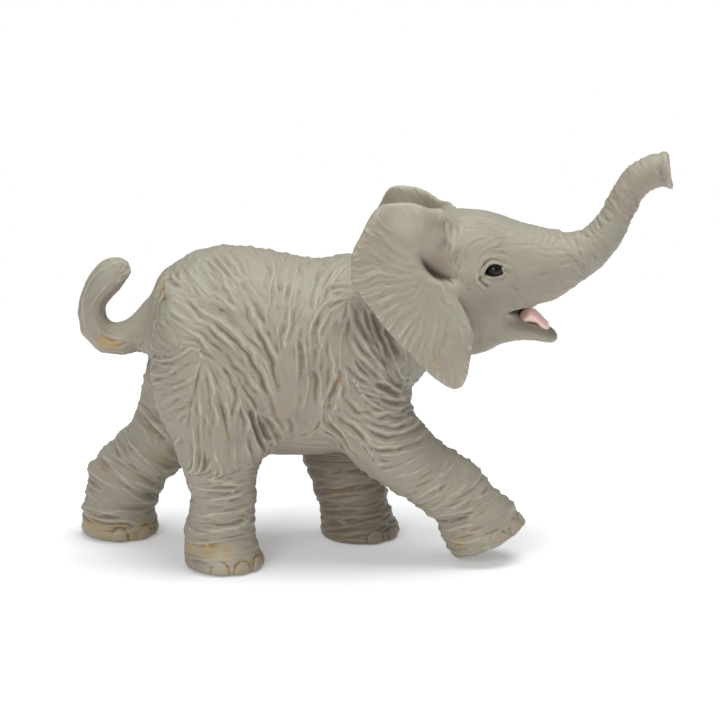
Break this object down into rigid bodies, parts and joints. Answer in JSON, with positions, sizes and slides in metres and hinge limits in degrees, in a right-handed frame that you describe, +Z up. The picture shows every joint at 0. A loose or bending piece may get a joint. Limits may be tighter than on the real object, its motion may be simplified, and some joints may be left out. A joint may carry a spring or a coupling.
{
  "type": "toy wild animal figure",
  "caption": "Moulded toy figure of a young African elephant walking with raised trunk, open mouth, spread ears and curled tail.",
  "frame": {"origin": "on the floor under the middle of the figure's outline box", "axes": "+X towards the trunk tip, the way the elephant walks; -Y towards its right side; +Z up from the soles"},
  "size_m": [0.105, 0.0394, 0.0724],
  "materials": {
    "skin_vinyl": "matte, dry-brushed grey",
    "tongue_vinyl": "satin pink",
    "eye_gloss": "gloss black"
  },
  "bodies": {
    "root": {"torso": "skin_vinyl", "head": "skin_vinyl", "trunk": "skin_vinyl", "lower_jaw": "skin_vinyl", "tongue": "tongue_vinyl", "right_ear": "skin_vinyl", "left_ear": "skin_vinyl", "right_eye": "eye_gloss", "left_eye": "eye_gloss", "tail": "skin_vinyl", "right_hind_leg": "skin_vinyl", "left_hind_leg": "skin_vinyl", "right_front_leg": "skin_vinyl", "left_front_leg": "skin_vinyl"}
  },
  "joints": []
}
